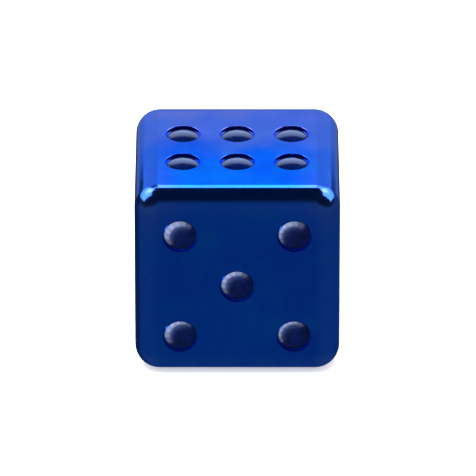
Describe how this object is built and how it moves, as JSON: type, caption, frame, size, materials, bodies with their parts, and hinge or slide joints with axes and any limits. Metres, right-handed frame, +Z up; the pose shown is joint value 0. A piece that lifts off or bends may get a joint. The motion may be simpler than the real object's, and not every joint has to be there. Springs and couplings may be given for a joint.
{
  "type": "casino die",
  "caption": "Polished blue anodised metal gaming die with rounded edges and flush domed dark navy pip inserts set in shallow counterbores.",
  "frame": {"origin": "middle of the bottom face, which is the face that shows one pip and that the die rests on", "axes": "+Z up to the face that shows six pips; -Y towards the face that shows five; +X towards the face that shows three"},
  "size_m": [0.019, 0.019, 0.0191],
  "materials": {
    "blue_anodised_metal": "polished",
    "navy_pip_insert": "gloss"
  },
  "bodies": {
    "root": {"die_body": "blue_anodised_metal", "pip_five_centre": "navy_pip_insert", "pip_five_lower_left": "navy_pip_insert", "pip_five_lower_right": "navy_pip_insert", "pip_five_upper_left": "navy_pip_insert", "pip_five_upper_right": "navy_pip_insert", "pip_four_lower_left": "navy_pip_insert", "pip_four_lower_right": "navy_pip_insert", "pip_four_upper_left": "navy_pip_insert", "pip_four_upper_right": "navy_pip_insert", "pip_one_centre": "navy_pip_insert", "pip_six_back_left": "navy_pip_insert", "pip_six_back_middle": "navy_pip_insert", "pip_six_back_right": "navy_pip_insert", "pip_six_front_left": "navy_pip_insert", "pip_six_front_middle": "navy_pip_insert", "pip_six_front_right": "navy_pip_insert", "pip_three_centre": "navy_pip_insert", "pip_three_lower_left": "navy_pip_insert", "pip_three_upper_right": "navy_pip_insert", "pip_two_lower_left": "navy_pip_insert", "pip_two_upper_right": "navy_pip_insert"}
  },
  "joints": []
}
